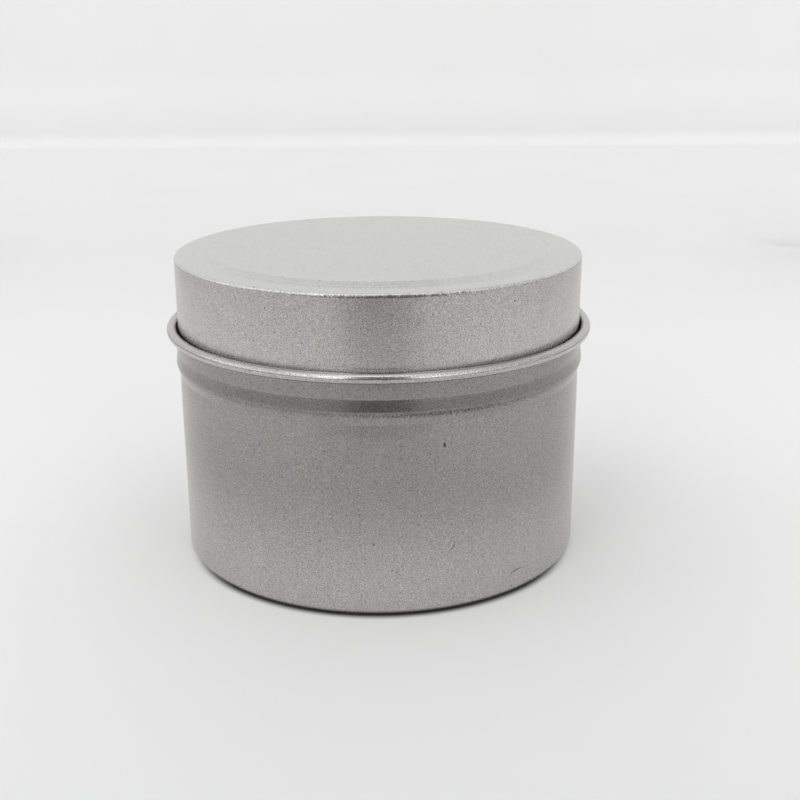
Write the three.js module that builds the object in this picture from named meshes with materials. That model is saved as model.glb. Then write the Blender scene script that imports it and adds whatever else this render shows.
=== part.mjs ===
// A round candle tin, in millimetres, +Z up, standing on Z = 0 with its axis on Z.
// It is two drawn tinplate cups: the body, with a rim curled outward, and a lid whose plain skirt
// plugs into the widened neck under that rim. Neither has a seam.

import * as THREE from 'three';

const SHEET = 0.25; // thickness of the tinplate
const SIDES = 48; // facets round each cup
const ARC_STEP = THREE.MathUtils.degToRad(30); // longest step along a bend
const ROUNDING = 1e-6; // keeps a turn of a whole number of steps to that number

// Body: outside sizes, but each BEND is a radius of the middle of the sheet.
const WALL_RADIUS = 40.05;
const BASE_CORNER = 1.5;
const BASE_PANEL_RADIUS = 34.2; // the pushed-up middle of the base
const BASE_PANEL_RISE = 0.8;
const BASE_STEP_RUN = 1.1;
const BASE_STEP_BEND = 0.6;
const WALL_TOP = 34.4; // the wall starts to pull in here, towards the groove
const SHOULDER_BEND = 6; // the soft bends where the wall and the neck turn off straight
const GROOVE_RADIUS = 39.93;
const GROOVE_HEIGHT = 36.9;
const GROOVE_BEND = 1;
const RIDGE_RADIUS = 40.65; // the ridge that the lid's hem rests inside
const RIDGE_HEIGHT = 39.25;
const RIDGE_BEND = 0.4; // the crisp bends of the ridge's edge and of the neck above it
const NECK_RADIUS = 40.39; // the narrowest part of the neck, above the ridge's sloping face
const NECK_HEIGHT = 41.5;
const NECK_STRAIGHT = 43.4; // the neck stands upright from here to the rim

// Curled rim of the body.
const RIM_RADIUS = 42.2;
const RIM_HEIGHT = 45.62; // height of the curl's centre
const CURL_RADIUS = 0.95; // outside of the curl
const CURL_TURN = THREE.MathUtils.degToRad(300);

// Lid, closed: outside sizes, but each BEND is a radius of the middle of the sheet.
const LID_RADIUS = 40.0;
const LID_LAND = 60.0; // the flat ring inside the lid's corner
const LID_CORNER = 0.6;
const LID_PANEL = 60.6; // the raised middle of the lid
const LID_PANEL_RADIUS = 33.0;
const LID_PANEL_BEND = 0.5; // at the panel's edge
const LID_STEP_RUN = 1.4;
const LID_STEP_BEND = 1; // at the foot of the step, on the land
const LID_HEM_HEIGHT = 38.95; // height of the hem's centre
const LID_HEM_RADIUS = 0.675; // outside of the hem
const LID_HEM_TURN = THREE.MathUtils.degToRad(235);

const TINPLATE_COLOUR = 0xa8a69f;
const TINPLATE_ROUGHNESS = 0.42;

const corner = (r, z, bend) => new THREE.Vector3(r, z, bend);

const lineNormal = (from, to) => {
  const along = new THREE.Vector2(to.x - from.x, to.y - from.y).normalize();
  return new THREE.Vector2(along.y, -along.x);
};

// Points of an arc, each with the normal that lies on the right of its direction of travel.
function arc(centre, radius, start, turn) {
  const steps = Math.max(1, Math.ceil(Math.abs(turn) / ARC_STEP - ROUNDING));
  const side = Math.sign(turn);
  const points = [];
  for (let i = 0; i <= steps; i += 1) {
    const angle = start + (turn * i) / steps;
    const out = new THREE.Vector2(Math.cos(angle), Math.sin(angle));
    const at = out.clone().multiplyScalar(radius).add(centre);
    points.push({ at, normal: out.multiplyScalar(side) });
  }
  return points;
}

// The arc that rounds the corner b, between the lines a-b and b-c, to b's bend radius.
function bendAt(a, b, c) {
  const before = lineNormal(a, b);
  const after = lineNormal(b, c);
  const turn = Math.atan2(before.cross(after), before.dot(after));
  const side = Math.sign(turn);
  const reach = b.z * Math.tan(Math.abs(turn) / 2);
  const along = new THREE.Vector2(-before.y, before.x);
  const start = new THREE.Vector2(b.x, b.y).addScaledVector(along, -reach);
  const centre = start.addScaledVector(before, -side * b.z);
  return arc(centre, b.z, before.multiplyScalar(side).angle(), turn);
}

// The middle line of a sheet, from the axis through its rounded corners to the curl that ends it.
// The curl starts at the last corner.
function middleLine(corners, curl) {
  const [start, next] = corners;
  const first = { at: new THREE.Vector2(start.x, start.y), normal: lineNormal(start, next) };
  const bends = corners.slice(1, -1).flatMap((middle, i) => bendAt(corners[i], middle, corners[i + 2]));
  return [first, ...bends, ...curl];
}

// A cup of sheet metal, turned about Z: half the thickness on each side of the middle line.
function cup(points) {
  const offset = (point, side) => point.at.clone().addScaledVector(point.normal, (side * SHEET) / 2);
  const outside = points.map((point) => offset(point, 1));
  const inside = points.map((point) => offset(point, -1)).reverse();
  const geometry = new THREE.LatheGeometry([...outside, ...inside], SIDES);
  return geometry.rotateX(Math.PI / 2);
}

function bodyGeometry() {
  const half = SHEET / 2;
  const curlCentre = new THREE.Vector2(RIM_RADIUS - CURL_RADIUS, RIM_HEIGHT);
  const curlMiddle = CURL_RADIUS - half;
  const neckTop = curlCentre.x - curlMiddle;
  const wall = WALL_RADIUS - half;
  const corners = [
    corner(0, BASE_PANEL_RISE + half, 0),
    corner(BASE_PANEL_RADIUS, BASE_PANEL_RISE + half, BASE_STEP_BEND),
    corner(BASE_PANEL_RADIUS + BASE_STEP_RUN, half, BASE_STEP_BEND),
    corner(wall, half, BASE_CORNER - half),
    corner(wall, WALL_TOP, SHOULDER_BEND),
    corner(GROOVE_RADIUS - half, GROOVE_HEIGHT, GROOVE_BEND),
    corner(RIDGE_RADIUS - half, RIDGE_HEIGHT, RIDGE_BEND),
    corner(NECK_RADIUS - half, NECK_HEIGHT, RIDGE_BEND),
    corner(neckTop, NECK_STRAIGHT, SHOULDER_BEND),
    corner(neckTop, RIM_HEIGHT, 0),
  ];
  return cup(middleLine(corners, arc(curlCentre, curlMiddle, Math.PI, -CURL_TURN)));
}

function lidGeometry() {
  const half = SHEET / 2;
  const skirt = LID_RADIUS - half;
  const hemMiddle = LID_HEM_RADIUS - half;
  const hemCentre = new THREE.Vector2(skirt - hemMiddle, LID_HEM_HEIGHT);
  const corners = [
    corner(0, LID_PANEL - half, 0),
    corner(LID_PANEL_RADIUS, LID_PANEL - half, LID_PANEL_BEND),
    corner(LID_PANEL_RADIUS + LID_STEP_RUN, LID_LAND - half, LID_STEP_BEND),
    corner(skirt, LID_LAND - half, LID_CORNER - half),
    corner(skirt, LID_HEM_HEIGHT, 0),
  ];
  return cup(middleLine(corners, arc(hemCentre, hemMiddle, 0, -LID_HEM_TURN)));
}

const tinplate = (name) => {
  const look = { color: TINPLATE_COLOUR, roughness: TINPLATE_ROUGHNESS, metalness: 1 };
  const material = new THREE.MeshStandardMaterial(look);
  material.name = name;
  return material;
};

function piece(name, geometry, material) {
  const mesh = new THREE.Mesh(geometry, material);
  mesh.name = name;
  return mesh;
}

const tin = new THREE.Group();
tin.add(piece('tin_body', bodyGeometry(), tinplate('body_tinplate')));
tin.add(piece('lid', lidGeometry(), tinplate('lid_tinplate')));

export default tin;
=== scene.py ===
"""Looks of a round drawn tinplate candle tin and its plug-in lid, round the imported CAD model."""

import math

import bpy
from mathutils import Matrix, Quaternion, Vector


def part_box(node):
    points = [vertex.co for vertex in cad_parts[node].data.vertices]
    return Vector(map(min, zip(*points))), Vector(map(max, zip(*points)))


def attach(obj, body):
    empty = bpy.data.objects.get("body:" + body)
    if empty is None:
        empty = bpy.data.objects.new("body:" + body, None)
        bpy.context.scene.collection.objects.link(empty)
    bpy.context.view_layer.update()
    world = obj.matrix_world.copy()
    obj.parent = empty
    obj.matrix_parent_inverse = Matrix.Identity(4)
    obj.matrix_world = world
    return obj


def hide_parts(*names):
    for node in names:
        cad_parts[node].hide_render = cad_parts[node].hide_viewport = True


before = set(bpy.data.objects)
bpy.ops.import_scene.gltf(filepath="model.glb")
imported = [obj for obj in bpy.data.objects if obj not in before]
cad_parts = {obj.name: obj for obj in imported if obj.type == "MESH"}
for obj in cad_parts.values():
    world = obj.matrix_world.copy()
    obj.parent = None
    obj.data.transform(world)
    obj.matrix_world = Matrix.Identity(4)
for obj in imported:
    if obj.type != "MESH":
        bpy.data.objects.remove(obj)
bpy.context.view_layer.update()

BODY_LOW, BODY_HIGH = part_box("tin_body")
LID_LOW, LID_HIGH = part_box("lid")

MM = 0.001

# Sizes of the sheet section, as the CAD model has them. Radii are of the outside of the sheet,
# and each bend is a radius of its middle.
SHEET = 0.25 * MM
CURL_RADIUS = 0.95 * MM
CURL_TURN = math.radians(300)
RIM_RADIUS = BODY_HIGH.x
RIM_HEIGHT = BODY_HIGH.z - CURL_RADIUS
WALL_RADIUS = RIM_RADIUS - 2.15 * MM
BASE_CORNER = 1.5 * MM
BASE_PANEL_RADIUS = WALL_RADIUS - 5.85 * MM
BASE_PANEL_RISE = 0.8 * MM
BASE_STEP_RUN = 1.1 * MM
BASE_STEP_BEND = 0.6 * MM
WALL_TOP = 34.4 * MM
SHOULDER_BEND = 6 * MM
GROOVE_RADIUS = WALL_RADIUS - 0.12 * MM
GROOVE_HEIGHT = 36.9 * MM
GROOVE_BEND = 1 * MM
RIDGE_RADIUS = WALL_RADIUS + 0.6 * MM
RIDGE_HEIGHT = 39.25 * MM
RIDGE_BEND = 0.4 * MM
NECK_RADIUS = WALL_RADIUS + 0.34 * MM
NECK_HEIGHT = 41.5 * MM
NECK_STRAIGHT = 43.4 * MM

LID_RADIUS = LID_HIGH.x
LID_PANEL = LID_HIGH.z
LID_LAND = LID_PANEL - 0.6 * MM
LID_CORNER = 0.6 * MM
LID_PANEL_RADIUS = LID_RADIUS - 7 * MM
LID_PANEL_BEND = 0.5 * MM
LID_STEP_RUN = 1.4 * MM
LID_STEP_BEND = 1 * MM
LID_HEM_RADIUS = 0.675 * MM
LID_HEM_HEIGHT = LID_LOW.z + LID_HEM_RADIUS
LID_HEM_TURN = math.radians(235)

# Fineness of the turned meshes.
SEGMENTS = 192
ARC_STEP = math.radians(9)
ROUNDING = 1e-6  # keeps a turn of a whole number of steps to that number
LONGEST_RUN = 2 * MM
EDGE_RUN = 0.12 * MM  # the last step of a straight run, beside a bend
SHARP_ANGLE = math.radians(40)


def right_of(start, end):
    """The unit normal on the right of the way from start to end."""
    along = (end - start).normalized()
    return Vector((along.y, -along.x))


def arc(centre, radius, start, turn):
    """Points of an arc, each with the normal on the right of its direction of travel."""
    steps = max(1, math.ceil(abs(turn) / ARC_STEP - ROUNDING))
    side = math.copysign(1, turn)
    angles = [start + turn * i / steps for i in range(steps + 1)]
    outs = [Vector((math.cos(a), math.sin(a))) for a in angles]
    return [(centre + radius * out, side * out) for out in outs]


def bend_at(before, corner, after, radius):
    """The arc that rounds a corner of the section."""
    first, last = right_of(before, corner), right_of(corner, after)
    turn = math.atan2(first.x * last.y - first.y * last.x, first.dot(last))
    side = math.copysign(1, turn)
    along = Vector((-first.y, first.x))
    start = corner - along * radius * math.tan(abs(turn) / 2)
    out = side * first
    return arc(start - out * radius, radius, math.atan2(out.y, out.x), turn)


def shares(length):
    """Where the points between the ends of a straight run lie, as shares of its length."""
    if length < 4 * EDGE_RUN:
        return []
    count = math.ceil(length / LONGEST_RUN)
    between = [i / count for i in range(1, count)]
    edge = EDGE_RUN / length
    return [edge, *between, 1 - edge]


def middle_line(corners, curl):
    """The middle line of a sheet, from the axis through its rounded corners to its curl."""
    points = [Vector(c[:2]) for c in corners]
    line = [(points[0], right_of(points[0], points[1]))]
    for i in range(1, len(corners) - 1):
        line += bend_at(points[i - 1], points[i], points[i + 1], corners[i][2])
    line += curl
    filled = [line[0]]
    for (a, _), (b, normal) in zip(line, line[1:]):
        run = (b - a).length
        straight = right_of(a, b) if run > ROUNDING * MM else normal
        filled += [(a.lerp(b, share), straight) for share in shares(run)]
        filled.append((b, normal))
    return filled


# Drawn tinplate is never quite round: waves round the tin, how much each leans with height (a
# radian for each mm), and where each starts.
RIPPLES = [(5, 0.11, 0.7), (9, -0.17, 2.1), (14, 0.29, 4.0)]
RIPPLE_DEPTH = 0.03 * MM
RIPPLE_FADE = 6 * MM  # the ripple grows from nothing to full over this height above the base


def ripple(x, y, z):
    """How far the sheet stands off a perfect turning, from -1 to 1."""
    turn = math.atan2(y, x)
    waves = [math.sin(count * turn + lean * z / MM + start) for count, lean, start in RIPPLES]
    return sum(waves) / len(waves)


def turned(name, line):
    """A cup of sheet metal, turned about Z, half the sheet on each side of its middle line."""
    sides = [(p, n, SHEET / 2) for p, n in line] + [(p, n, -SHEET / 2) for p, n in reversed(line)]
    verts, rings = [], []
    for point, normal, half in sides:
        place = point + normal * half
        if place.x < ROUNDING * MM:
            rings.append([len(verts)] * SEGMENTS)
            verts.append((0, 0, place.y))
            continue
        rings.append(range(len(verts), len(verts) + SEGMENTS))
        share = abs(normal.x) * min(1, max(0, point.y / RIPPLE_FADE)) * RIPPLE_DEPTH
        for i in range(SEGMENTS):
            angle = math.tau * i / SEGMENTS
            x, y = math.cos(angle), math.sin(angle)
            radius = place.x + share * ripple(x, y, point.y)
            verts.append((radius * x, radius * y, place.y))
    faces = []
    for low, high in zip(rings, rings[1:]):
        for i in range(SEGMENTS):
            j = (i + 1) % SEGMENTS
            face = dict.fromkeys((low[i], low[j], high[j], high[i]))
            faces.append(tuple(face))
    mesh = bpy.data.meshes.new(name)
    mesh.from_pydata(verts, [], faces)
    mesh.shade_smooth()
    mesh.set_sharp_from_angle(angle=SHARP_ANGLE)
    piece = bpy.data.objects.new(name, mesh)
    bpy.context.scene.collection.objects.link(piece)
    return piece


def body_line():
    half = SHEET / 2
    curl_centre = Vector((RIM_RADIUS - CURL_RADIUS, RIM_HEIGHT))
    curl_middle = CURL_RADIUS - half
    neck_top = curl_centre.x - curl_middle
    wall = WALL_RADIUS - half
    corners = [
        (0, BASE_PANEL_RISE + half),
        (BASE_PANEL_RADIUS, BASE_PANEL_RISE + half, BASE_STEP_BEND),
        (BASE_PANEL_RADIUS + BASE_STEP_RUN, half, BASE_STEP_BEND),
        (wall, half, BASE_CORNER - half),
        (wall, WALL_TOP, SHOULDER_BEND),
        (GROOVE_RADIUS - half, GROOVE_HEIGHT, GROOVE_BEND),
        (RIDGE_RADIUS - half, RIDGE_HEIGHT, RIDGE_BEND),
        (NECK_RADIUS - half, NECK_HEIGHT, RIDGE_BEND),
        (neck_top, NECK_STRAIGHT, SHOULDER_BEND),
        (neck_top, RIM_HEIGHT),
    ]
    return middle_line(corners, arc(curl_centre, curl_middle, math.pi, -CURL_TURN))


def lid_line():
    half = SHEET / 2
    skirt = LID_RADIUS - half
    hem_middle = LID_HEM_RADIUS - half
    corners = [
        (0, LID_PANEL - half),
        (LID_PANEL_RADIUS, LID_PANEL - half, LID_PANEL_BEND),
        (LID_PANEL_RADIUS + LID_STEP_RUN, LID_LAND - half, LID_STEP_BEND),
        (skirt, LID_LAND - half, LID_CORNER - half),
        (skirt, LID_HEM_HEIGHT),
    ]
    hem_centre = Vector((skirt - hem_middle, LID_HEM_HEIGHT))
    return middle_line(corners, arc(hem_centre, hem_middle, 0, -LID_HEM_TURN))


# Materials

# Colours of the bare tin going up each piece, and the heights between which each colour becomes
# the next. The tin's own colour is a grey; its changes with height are painted light: the body's
# foot is lighter as a painted reflection of the bright board, its wall is painted darker towards
# its top, the band from just under the ridge up to the neck is darker still as painted shade, and
# its rim is lighter as a painted highlight. The lid's top is painted lighter than its skirt.
LID_TIN_AND_PAINTED_LIGHT = [(0.51, 0.50, 0.485, 1), (0.64, 0.64, 0.635, 1)]
LID_FADES = [(LID_LAND - 1 * MM, LID_LAND)]
BODY_TIN_AND_PAINTED_LIGHT = [
    (0.50, 0.49, 0.475, 1),
    (0.315, 0.305, 0.295, 1),
    (0.245, 0.238, 0.23, 1),
    (0.280, 0.272, 0.265, 1),
    (0.50, 0.49, 0.48, 1),
]
BODY_FADES = [
    (3 * MM, 26 * MM),
    (RIDGE_HEIGHT - 0.9 * MM, RIDGE_HEIGHT - 0.5 * MM),
    (NECK_HEIGHT - 1 * MM, NECK_HEIGHT),
    (RIM_HEIGHT - 1.3 * MM, RIM_HEIGHT - 0.7 * MM),
]
LID_ROUGHNESS = 0.26
BODY_ROUGHNESS = 0.22
ROUGH_GRAIN = 0.08  # how much the grain varies the roughness

# Every noise is in the piece's own place, moved along by its seed. Scales count cells in a metre,
# and spreads are how much the brightness varies.
LID_SEED = 0.37
BODY_SEED = 0.0
GRAIN_SCALE = 4800
GRAIN_SPREAD = 1.9
LEVEL_GRAIN = 0.15  # the share of the grain that shows on level sheet, such as the lid's panel
LEVEL_FADE = (0.5, 1.0)  # how far up or down the sheet has to face for that
GRAIN_DEPTH = 0.01 * MM
TINT_SCALE = 1500
TINT = 0.06
CLOUD_SCALE = 90
CLOUD_SPREAD = 0.08
STREAK_SCALE = 420
STREAK_SQUASH = (1, 1, 0.06)  # streaks run up and down, the way the sheet was drawn
STREAK_SPREAD = 0.08

# What marks, wear, specks and the painted dark reflection on the lid's corner do to the tin: their
# colour, and what they add to its roughness and take from its metal.
GRIME_AND_PAINTED_DARK = (0.060, 0.045, 0.036, 1)
GRIME_AND_PAINTED_DARK_ROUGHNESS = 0.25
GRIME_AND_PAINTED_DARK_DULLNESS = 0.7

# Small marks: degrees round from the front towards the right, height as a share of the piece's
# outside, half length and half width in mm, tilt from level in degrees, and strength.
BODY_MARKS = [
    (16.3, 0.70, 0.50, 0.26, 100, 1.0),
    (39.3, 0.10, 1.45, 0.12, 6, 0.95),
    (3.9, 0.19, 0.45, 0.11, 85, 0.50),
    (19.0, 0.28, 0.95, 0.11, 63, 0.60),
    (-34.5, 0.51, 0.85, 0.08, -45, 0.25),
    (-36.2, 0.38, 0.40, 0.10, 88, 0.40),
    (10.2, 0.42, 0.16, 0.14, 0, 0.60),
    (-4.3, 0.14, 0.12, 0.12, 0, 0.60),
    (-2.3, 0.13, 0.12, 0.12, 0, 0.60),
    (121, 0.60, 1.2, 0.09, 35, 0.35),
    (-148, 0.33, 0.9, 0.08, -70, 0.35),
]
LID_MARKS = [(-43.5, 0.77, 0.17, 0.13, 0, 0.7), (138, 0.6, 0.8, 0.08, 20, 0.4)]
MARK_EDGE = (0.6, 1.2)  # a mark fades out between these shares of its half size
WOBBLE_SCALE = 1500  # marks have ragged outlines
WOBBLE = 0.15 * MM

# Rubbed, darkened tin under the ridge, and along the lid's corner rubbed tin together with a
# painted dark reflection under the edge's highlight, strongest at the front: height, half width,
# where it is strongest, how far round it reaches, the share left beyond that, and how thick it is.
BODY_WEAR = (RIDGE_HEIGHT - 0.65 * MM, 1.0 * MM, math.radians(16), math.radians(36), 0.4, 0.24)
LID_WEAR_AND_PAINTED_REFLECTION = (LID_LAND - 0.55 * MM, 0.55 * MM, math.radians(2), math.radians(38), 0.0, 0.36)
# the speckle of the rubbed tin and of the lid's painted dark reflection
WEAR_SCALE = 3600
WEAR_EDGE = (0.56, 0.86)
WEAR_AND_PAINTED_REFLECTION_STRENGTH = 0.9

SPECK_SCALE = 620  # cells in a metre, few of which hold a speck
SPECK_SIZE = 0.13
SPECK_CORE = SPECK_SIZE / 2
SPECK_SHARE = 0.8
SPECK_STRENGTH = 0.7


class Tree:
    """Adds nodes to one node tree, with their inputs set or linked."""

    def __init__(self, nodes):
        self.nodes = nodes

    def add(self, kind, inputs, output=0, **settings):
        made = self.nodes.nodes.new("ShaderNode" + kind)
        for name, value in settings.items():
            setattr(made, name, value)
        for key, value in inputs.items():
            if isinstance(value, bpy.types.NodeSocket):
                self.nodes.links.new(value, made.inputs[key])
            else:
                made.inputs[key].default_value = value
        return made.outputs[output] if made.outputs else made

    def math(self, operation, *values):
        return self.add("Math", dict(enumerate(values)), operation=operation)

    def vector(self, operation, *values, output="Vector"):
        return self.add("VectorMath", dict(enumerate(values)), output, operation=operation)

    def scaled(self, vector, factor):
        return self.add("VectorMath", {0: vector, "Scale": factor}, operation="SCALE")

    def noise(self, place, scale, detail=2, roughness=0.5, output="Fac"):
        inputs = {"Vector": place, "Scale": scale, "Detail": detail, "Roughness": roughness}
        return self.add("TexNoise", inputs, output)

    def ramp(self, value, low, high, to_low=0.0, to_high=1.0):
        inputs = {0: value, 1: low, 2: high, 3: to_low, 4: to_high}
        return self.add("MapRange", inputs, interpolation_type="SMOOTHSTEP")

    def around(self, value, spread):
        """A share from 0 to 1 as a factor about 1, spread over the given width."""
        return self.math("MULTIPLY_ADD", value, spread, 1 - spread / 2)

    def blend(self, share, first, second):
        inputs = {0: share, 6: first, 7: second}
        return self.add("Mix", inputs, 2, data_type="RGBA")


def new_material(name):
    material = bpy.data.materials.new(name)
    material.use_nodes = True
    material.node_tree.nodes.clear()
    return material, Tree(material.node_tree)


def mark_mask(tree, unrolled, marks, low, height):
    """Where the marks lie on the unrolled outside, each as strong as it should be."""
    total = 0.0
    for degrees, share, half_length, half_width, tilt, strength in marks:
        inputs = {
            "Vector": unrolled,
            "Location": (math.radians(degrees) * LID_RADIUS, low + share * height, 0),
            "Rotation": (0, 0, math.radians(tilt)),
            "Scale": (half_length * MM, half_width * MM, 1),
        }
        inside = tree.add("Mapping", inputs, vector_type="TEXTURE")
        distance = tree.vector("LENGTH", inside, output="Value")
        total = tree.math("MAXIMUM", tree.ramp(distance, *MARK_EDGE, strength, 0.0), total)
    return total


def wear_and_painted_reflection_mask(tree, place, turn, height, wear_and_painted_reflection):
    """Speckles of rubbed tin in a narrow level band, strongest towards the front; the lid's band
    is also a painted dark reflection.
    """
    middle, half, centre, reach, rest, thick = wear_and_painted_reflection
    level = tree.math("ABSOLUTE", tree.math("SUBTRACT", height, middle))
    band = tree.ramp(level, 0, half, 1.0, 0.0)
    way = tree.math("ABSOLUTE", tree.math("SUBTRACT", turn, centre))
    amount = tree.math("MULTIPLY", band, tree.ramp(way, 0, reach, 1.0, rest))
    speckle = tree.noise(place, WEAR_SCALE, 3, 0.6)
    worn = tree.math("MULTIPLY_ADD", amount, thick, speckle)
    return tree.ramp(worn, *WEAR_EDGE, 0.0, WEAR_AND_PAINTED_REFLECTION_STRENGTH)


def speck_mask(tree, place):
    """Sparse pits and specks of dust."""
    inputs = {"Vector": place, "Scale": SPECK_SCALE}
    near = tree.add("TexVoronoi", inputs, "Distance")
    chance = tree.add("SeparateColor", {0: near.node.outputs["Color"]}, 0)
    rare = tree.ramp(chance, 0, SPECK_SHARE, SPECK_STRENGTH, 0.0)
    return tree.math("MULTIPLY", tree.ramp(near, SPECK_CORE, SPECK_SIZE, 1.0, 0.0), rare)


def tinplate(name, low, high, tins_and_painted_light, fades, roughness, seed, marks, wear_and_painted_reflection):
    """Satin tinplate: a fine matt grain, soft clouds, faint streaks from drawing, small marks."""
    material, tree = new_material(name)
    own = tree.add("TexCoord", {}, "Object")
    axes = tree.add("SeparateXYZ", {0: own}, "X").node.outputs
    front = tree.math("MULTIPLY", axes["Y"], -1.0)
    turn = tree.math("ARCTAN2", axes["X"], front)
    arc_length = tree.math("MULTIPLY", turn, LID_RADIUS)
    place = tree.vector("ADD", own, (seed, seed, seed))
    ragged = tree.noise(place, WOBBLE_SCALE, output="Color")
    wobble = tree.vector("SUBTRACT", ragged, (0.5, 0.5, 0.5))
    flat = tree.add("CombineXYZ", {0: arc_length, 1: axes["Z"]})
    unrolled = tree.vector("ADD", flat, tree.scaled(wobble, WOBBLE))

    grain = tree.noise(place, GRAIN_SCALE, 2, 0.6)
    tint = tree.noise(place, TINT_SCALE, 1, output="Color")
    clouds = tree.noise(place, CLOUD_SCALE, 3)
    streaks = tree.noise(tree.vector("MULTIPLY", place, STREAK_SQUASH), STREAK_SCALE, 2)
    marked_and_painted = mark_mask(tree, unrolled, marks, low, high - low)
    marked_and_painted = tree.math("MAXIMUM", marked_and_painted, speck_mask(tree, place))
    # rubbed tin, and on the lid's corner a painted dark reflection
    marked_and_painted = tree.math("MAXIMUM", marked_and_painted, wear_and_painted_reflection_mask(tree, place, turn, axes["Z"], wear_and_painted_reflection))

    upright = tree.add("SeparateXYZ", {0: tree.add("NewGeometry", {}, "Normal")}, "Z")
    sideways = tree.ramp(tree.math("ABSOLUTE", upright), *LEVEL_FADE, 1.0, LEVEL_GRAIN)
    spread = tree.math("MULTIPLY", sideways, GRAIN_SPREAD)
    grained = tree.math("MULTIPLY_ADD", tree.math("SUBTRACT", grain, 0.5), spread, 1.0)
    shade = tree.math("MULTIPLY", grained, tree.around(clouds, CLOUD_SPREAD))
    shade = tree.math("MULTIPLY", shade, tree.around(streaks, STREAK_SPREAD))
    # the colours by height are painted light on top of the tin's own grey
    tin = tins_and_painted_light[0]
    for fade, upper in zip(fades, tins_and_painted_light[1:]):
        tin = tree.blend(tree.ramp(axes["Z"], *fade), tin, upper)
    tinted = tree.blend(TINT, tin, tint)
    clean = tree.scaled(tinted, shade)
    # this dark colour paints real marks and wear, and the lid corner's dark reflection
    colour = tree.blend(marked_and_painted, clean, GRIME_AND_PAINTED_DARK)
    rough = tree.math("MULTIPLY_ADD", grain, ROUGH_GRAIN, roughness - ROUGH_GRAIN / 2)
    rough = tree.math("MULTIPLY_ADD", marked_and_painted, GRIME_AND_PAINTED_DARK_ROUGHNESS, rough)
    bump = tree.add("Bump", {"Strength": 1.0, "Distance": GRAIN_DEPTH, "Height": grain})
    metallic = tree.math("MULTIPLY_ADD", marked_and_painted, -GRIME_AND_PAINTED_DARK_DULLNESS, 1.0)
    inputs = {"Base Color": colour, "Metallic": metallic, "Roughness": rough, "Normal": bump}
    shader = tree.add("BsdfPrincipled", inputs)
    tree.add("OutputMaterial", {"Surface": shader})
    return material


# Stage

WALL_DISTANCE = 0.81
WALL_HEIGHT = 1.2
SWEEP_RADIUS = 0.06
STAGE_REACH = 2.5
PLATE_REACH = 0.2
HOLE_RADIUS = WALL_RADIUS - BASE_CORNER + 0.35 * MM  # hidden under the rounding of the base
PLATE_SIDES = 64

# Shades of the board: near, far, at the foot of its sweep, and on the wall. They are painted
# shade:
# the board is painted darker farther back and at the foot of its sweep, where more light falls on
# it. It goes from near to far between two places on the way back, and has reached its foot's shade
# at SWEEP_FADE up.
FLOOR_SHADE = 0.86
FLOOR_FADE = (-0.10, 0.35)
FAR_SHADE = 0.705
SWEEP_SHADE = 0.59
SWEEP_FADE = 0.012
WALL_SHADE = 0.63
BOARD_CLOUD_SCALE = 14
BOARD_CLOUD = 0.03
CONTACT_SHADOW_PAINT = 0.12  # a painted contact shadow: the board is painted dark where the tin meets it
CONTACT_SHADOW_FACING = (-0.75, -0.30)  # the painted shadow fades between these shares of the way round to the front
CONTACT_SHADOW_FADE = (WALL_RADIUS - 0.85 * MM, WALL_RADIUS + 1.25 * MM)


def sweep_profile():
    """(y, z) of the floor and the wall behind it, from front to back."""
    start = WALL_DISTANCE - SWEEP_RADIUS
    flat = [(y, 0) for y in (-STAGE_REACH, -PLATE_REACH, PLATE_REACH, start)]
    turns = [math.radians(a) for a in range(10, 91, 10)]
    bend = [(start + SWEEP_RADIUS * math.sin(a), SWEEP_RADIUS * (1 - math.cos(a))) for a in turns]
    return flat + bend + [(WALL_DISTANCE, WALL_HEIGHT)]


def stage_mesh():
    """The floor and wall, with a hole hidden under the tin so that its underside is lit."""
    columns = (-STAGE_REACH, -PLATE_REACH, PLATE_REACH, STAGE_REACH)
    profile = sweep_profile()
    verts = [(x, y, z) for y, z in profile for x in columns]
    wide = len(columns)
    faces = []
    for row in range(len(profile) - 1):
        for column in range(wide - 1):
            if row == 1 and column == 1:
                continue
            a = row * wide + column
            faces.append((a, a + 1, a + 1 + wide, a + wide))
    first = len(verts)
    for i in range(PLATE_SIDES):
        angle = math.tau * (i + 0.5) / PLATE_SIDES
        x, y = math.cos(angle), math.sin(angle)
        out = PLATE_REACH / max(abs(x), abs(y))
        verts += [(HOLE_RADIUS * x, HOLE_RADIUS * y, 0), (out * x, out * y, 0)]
    for i in range(PLATE_SIDES):
        a, b = first + 2 * i, first + 2 * ((i + 1) % PLATE_SIDES)
        faces.append((a, a + 1, b + 1, b))
    mesh = bpy.data.meshes.new("stage")
    mesh.from_pydata(verts, [], faces)
    mesh.shade_smooth()
    mesh.set_sharp_from_angle(angle=SHARP_ANGLE)
    return mesh


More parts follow.
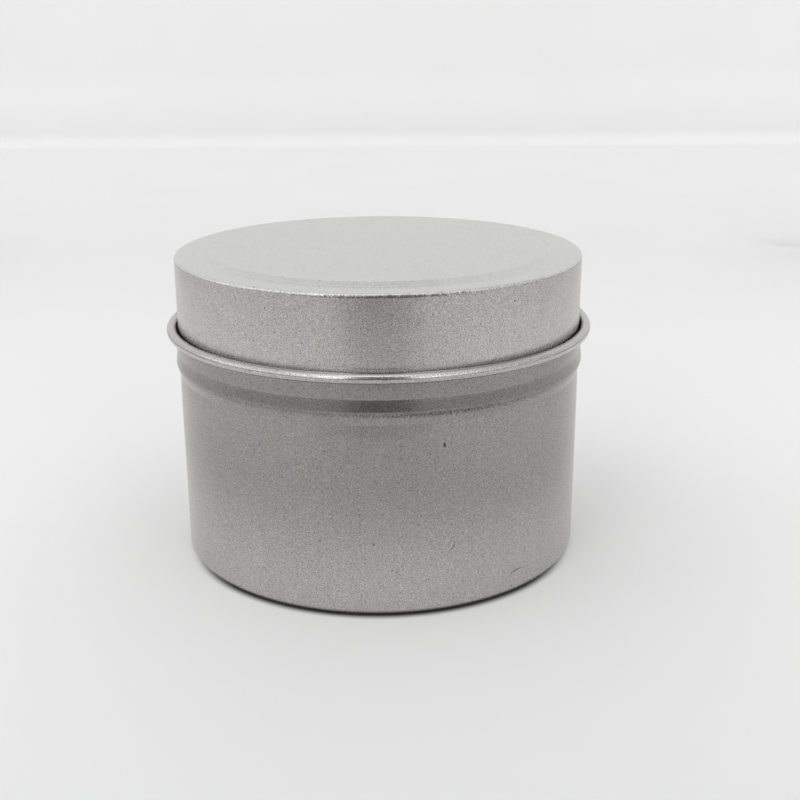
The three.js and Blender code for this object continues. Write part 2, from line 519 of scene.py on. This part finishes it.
def stage_material():
    material, tree = new_material("pale_board")
    place = tree.add("TexCoord", {}, "Object")
    clouds = tree.noise(place, BOARD_CLOUD_SCALE, 4)
    axes = tree.add("SeparateXYZ", {0: place}, "X").node.outputs
    # painted shade: the board's colour darkens farther back and at the sweep's foot
    floor = tree.ramp(axes["Y"], *FLOOR_FADE, FLOOR_SHADE, FAR_SHADE)
    sweep = tree.ramp(axes["Z"], 0, SWEEP_FADE)
    rise = tree.ramp(axes["Z"], SWEEP_FADE, SWEEP_RADIUS, SWEEP_SHADE, WALL_SHADE)
    level = tree.math("MULTIPLY_ADD", tree.math("SUBTRACT", rise, floor), sweep, floor)
    radius = tree.vector("LENGTH", tree.vector("MULTIPLY", place, (1, 1, 0)), output="Value")
    facing = tree.math("DIVIDE", axes["Y"], radius)
    # painted contact shadow round the tin's foot, darkest at the front
    painted_shadow_darkest = tree.ramp(facing, *CONTACT_SHADOW_FACING, CONTACT_SHADOW_PAINT, 1.0)
    painted_contact_shadow = tree.ramp(radius, *CONTACT_SHADOW_FADE, painted_shadow_darkest, 1.0)
    shade = tree.math("MULTIPLY", tree.math("MULTIPLY_ADD", clouds, BOARD_CLOUD, level), painted_contact_shadow)
    colour = tree.add("CombineColor", {0: shade, 1: shade, 2: shade})
    board = tree.add("BsdfDiffuse", {"Color": colour})
    clear = tree.add("BsdfTransparent", {})
    below = tree.add("NewGeometry", {}, "Backfacing")
    shader = tree.add("MixShader", {0: below, 1: board, 2: clear})
    tree.add("OutputMaterial", {"Surface": shader})
    return material


# Dark cards round the tin: bright metal needs something dark to reflect, so that its edges show.
# The camera itself doesn't see them. A tall one stands where a photographer would, and a low one
# runs most of the way round, as the dark room beyond the edge of a table.
CARD_SHADE = (0.24, 0.24, 0.24, 1)
CARD_DISTANCE = 0.30
CARD_HALF = 0.09
CARD_FOOT = 0.001
CARD_TOP = 0.45
BAND_RADIUS = 0.36
BAND_FOOT = 0.010
BAND_TOP = 0.055
BAND_REACH = 150  # degrees each way from the front
BAND_TAPER = 60  # degrees over which its top comes down towards each end
BAND_STEP = 10


def dark_cards():
    card = [(side * CARD_HALF, -CARD_DISTANCE, CARD_TOP) for side in (-1, 1)]
    band = []
    for degrees in range(-BAND_REACH, BAND_REACH + 1, BAND_STEP):
        angle = math.radians(degrees)
        share = min(1, (BAND_REACH + BAND_STEP - abs(degrees)) / BAND_TAPER)
        top = BAND_FOOT + share * (BAND_TOP - BAND_FOOT)
        band.append((BAND_RADIUS * math.sin(angle), -BAND_RADIUS * math.cos(angle), top))
    verts, faces = [], []
    for run, foot in ((card, CARD_FOOT), (band, BAND_FOOT)):
        first = len(verts)
        verts += [(x, y, z) for x, y, top in run for z in (foot, top)]
        faces += [(a, a + 1, a + 3, a + 2) for a in range(first, len(verts) - 2, 2)]
    mesh = bpy.data.meshes.new("dark_cards")
    mesh.from_pydata(verts, [], faces)
    material, tree = new_material("dark_card")
    shader = tree.add("BsdfDiffuse", {"Color": CARD_SHADE})
    tree.add("OutputMaterial", {"Surface": shader})
    mesh.materials.append(material)
    cards = bpy.data.objects.new("dark_cards", mesh)
    cards.visible_camera = False
    bpy.context.scene.collection.objects.link(cards)


BACKDROP = (0.80, 0.80, 0.80, 1)

# The room's light: the same soft level all round, and a few soft brighter places. Each has its
# azimuth from the front towards the right, its elevation, and its strength.
ROOM_LIGHT = 0.78
BRIGHT_PLACES = [
    (0, 10, 2.5),  # the bright side of the room, behind the camera
    (45, 15, 0.3),  # and its right end
    (-20, 40, 0.9),  # a window above it, to the left
    (-90, 20, 0.6),  # the left wall
    (0, 65, 0.6),  # the ceiling, in front of the tin
]
GLOW_SHARPNESS = 10  # a place has half its strength about 21 degrees from its middle


def studio_light():
    world = bpy.data.worlds.get("room") or bpy.data.worlds.new("room")
    bpy.context.scene.world = world
    world.use_nodes = True
    world.node_tree.nodes.clear()
    tree = Tree(world.node_tree)
    way = tree.add("TexCoord", {}, "Generated")
    total = ROOM_LIGHT
    for azimuth, elevation, strength in BRIGHT_PLACES:
        a, e = math.radians(azimuth), math.radians(elevation)
        centre = (math.sin(a) * math.cos(e), -math.cos(a) * math.cos(e), math.sin(e))
        near = tree.vector("DOT_PRODUCT", way, centre, output="Value")
        power = tree.math("MULTIPLY_ADD", near, GLOW_SHARPNESS, -GLOW_SHARPNESS)
        glow = tree.math("EXPONENT", power)
        total = tree.math("MULTIPLY_ADD", glow, strength, total)
    seen = tree.add("LightPath", {}, "Is Camera Ray")
    shown = tree.blend(seen, total, BACKDROP)
    background = tree.add("Background", {"Color": shown})
    tree.add("OutputWorld", {"Surface": background})


# Camera

CAMERA_PLACE = (0, -232.5 * MM, 104.3 * MM)
CAMERA_DOWN = math.radians(18.083)
CAMERA_RIGHT = math.radians(1.02)
CAMERA_ROLL = math.radians(-0.277)
CAMERA_LENS = 53.275
SENSOR = 36


def camera():
    data = bpy.data.cameras.new("camera")
    data.lens, data.sensor_width = CAMERA_LENS, SENSOR
    made = bpy.data.objects.new("camera", data)
    bpy.context.scene.collection.objects.link(made)
    made.location = CAMERA_PLACE
    level = Vector((math.sin(CAMERA_RIGHT), math.cos(CAMERA_RIGHT), 0)) * math.cos(CAMERA_DOWN)
    forward = level - Vector((0, 0, math.sin(CAMERA_DOWN)))
    made.rotation_mode = "QUATERNION"
    turn = forward.to_track_quat("-Z", "Y")
    turn.rotate(Quaternion(forward, -CAMERA_ROLL))
    made.rotation_quaternion = turn
    bpy.context.scene.camera = made


body_look = {
    "tins_and_painted_light": BODY_TIN_AND_PAINTED_LIGHT,
    "fades": BODY_FADES,
    "roughness": BODY_ROUGHNESS,
    "seed": BODY_SEED,
    "marks": BODY_MARKS,
    "wear_and_painted_reflection": BODY_WEAR,
}
lid_look = {
    "tins_and_painted_light": LID_TIN_AND_PAINTED_LIGHT,
    "fades": LID_FADES,
    "roughness": LID_ROUGHNESS,
    "seed": LID_SEED,
    "marks": LID_MARKS,
    "wear_and_painted_reflection": LID_WEAR_AND_PAINTED_REFLECTION,
}

shell = turned("tin_body_shell", body_line())
shell.data.materials.append(tinplate("body_tinplate", BODY_LOW.z, BODY_HIGH.z, **body_look))
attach(shell, "body")
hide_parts("tin_body")

cover = turned("lid_shell", lid_line())
cover.data.materials.append(tinplate("lid_tinplate", LID_LOW.z, LID_HIGH.z, **lid_look))
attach(cover, "lid")
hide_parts("lid")

stage = bpy.data.objects.new("stage", stage_mesh())
stage.data.materials.append(stage_material())
bpy.context.scene.collection.objects.link(stage)

dark_cards()
studio_light()
camera()
bpy.context.scene.view_settings.view_transform = "Standard"
